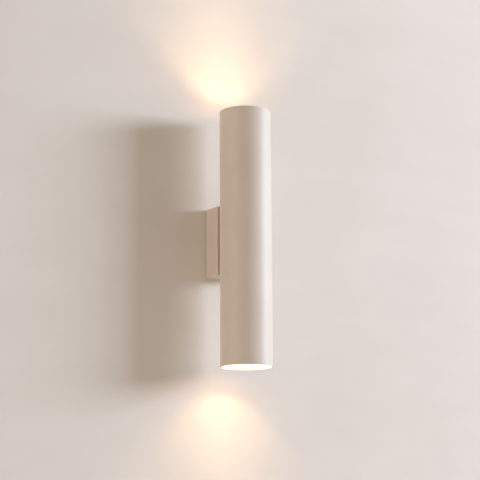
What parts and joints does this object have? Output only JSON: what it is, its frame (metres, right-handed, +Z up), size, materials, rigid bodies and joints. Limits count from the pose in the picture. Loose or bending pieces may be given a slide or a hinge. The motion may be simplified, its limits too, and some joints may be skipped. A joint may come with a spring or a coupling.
{
  "type": "tube wall light",
  "caption": "Upright round tube on a small rectangular wall box, open at the top and bottom, with twist-lock reflector lamps inside that light the wall above and below.",
  "frame": {"origin": "middle of the two wall screw slots, on the wall plane at the back of the bracket", "axes": "+Z up along the tube, +Y into the wall, -Y out into the room, +X to the right as seen from the room"},
  "size_m": [0.06, 0.0851, 0.3],
  "materials": {
    "powder_coat": "satin fine-textured powder coat, warm off-white",
    "coated_screw": "satin, coated to match the box",
    "zinc_steel": "bright zinc plated sheet",
    "zinc_fastener": "bright zinc plated",
    "brass": "plain brass",
    "spring_contact": "nickel plated spring strip",
    "bush_rubber": "black, matte",
    "grommet_rubber": "black, matte",
    "terminal_plastic": "off-white polyamide",
    "holder_ceramic": "unglazed steatite",
    "lamp_base_plastic": "white, semi-gloss",
    "lamp_aluminium": "satin, cast and turned",
    "lamp_lens": "clear moulded optic, fine dimples, lit warm white",
    "led_board": "white solder mask on an aluminium core",
    "driver_board": "green solder mask",
    "live_sleeve": "brown silicone sleeve",
    "neutral_sleeve": "blue silicone sleeve",
    "earth_sleeve": "green and yellow striped silicone sleeve"
  },
  "bodies": {
    "luminaire": {"body_earth_lead": "earth_sleeve", "box_lock_screws": "coated_screw", "bracket_earth_lead": "earth_sleeve", "earth_lugs": "brass", "earth_screws": "zinc_fastener", "earth_washers": "zinc_fastener", "lamp_carrier": "zinc_steel", "lower_lampholder_body": "holder_ceramic", "lower_lampholder_contacts": "spring_contact", "lower_lampholder_cover": "holder_ceramic", "lower_lampholder_nuts": "zinc_fastener", "lower_lampholder_screws": "zinc_fastener", "lower_live_lead": "live_sleeve", "lower_neutral_lead": "neutral_sleeve", "supply_bush": "bush_rubber", "terminal_block": "terminal_plastic", "terminal_clamp_screws": "zinc_fastener", "terminal_fixing_screw": "zinc_fastener", "terminal_inserts": "brass", "tube_body": "powder_coat", "tube_fixing_nuts": "zinc_fastener", "tube_fixing_screws": "zinc_fastener", "tube_fixing_washers": "zinc_fastener", "tube_grommet": "grommet_rubber", "upper_lampholder_body": "holder_ceramic", "upper_lampholder_contacts": "spring_contact", "upper_lampholder_cover": "holder_ceramic", "upper_lampholder_nuts": "zinc_fastener", "upper_lampholder_screws": "zinc_fastener", "upper_live_lead": "live_sleeve", "upper_neutral_lead": "neutral_sleeve", "wall_box": "powder_coat", "wall_bracket": "zinc_steel"},
    "upper_lamp": {"upper_lamp_base": "lamp_base_plastic", "upper_lamp_pins": "brass", "upper_lamp_housing": "lamp_aluminium", "upper_lamp_lens": "lamp_lens", "upper_lamp_led_board": "led_board", "upper_lamp_driver_board": "driver_board"},
    "lower_lamp": {"lower_lamp_base": "lamp_base_plastic", "lower_lamp_pins": "brass", "lower_lamp_housing": "lamp_aluminium", "lower_lamp_lens": "lamp_lens", "lower_lamp_led_board": "led_board", "lower_lamp_driver_board": "driver_board"}
  },
  "joints": [
    {"name": "upper_lamp_twist", "type": "hinge", "parent": "luminaire", "child": "upper_lamp", "pos_m": [0, -0.0551, 0.072], "axis": [0, 0, 1], "range_deg": [0, 30]},
    {"name": "lower_lamp_twist", "type": "hinge", "parent": "luminaire", "child": "lower_lamp", "pos_m": [0, -0.0551, -0.072], "axis": [0, 0, -1], "range_deg": [0, 30]}
  ]
}
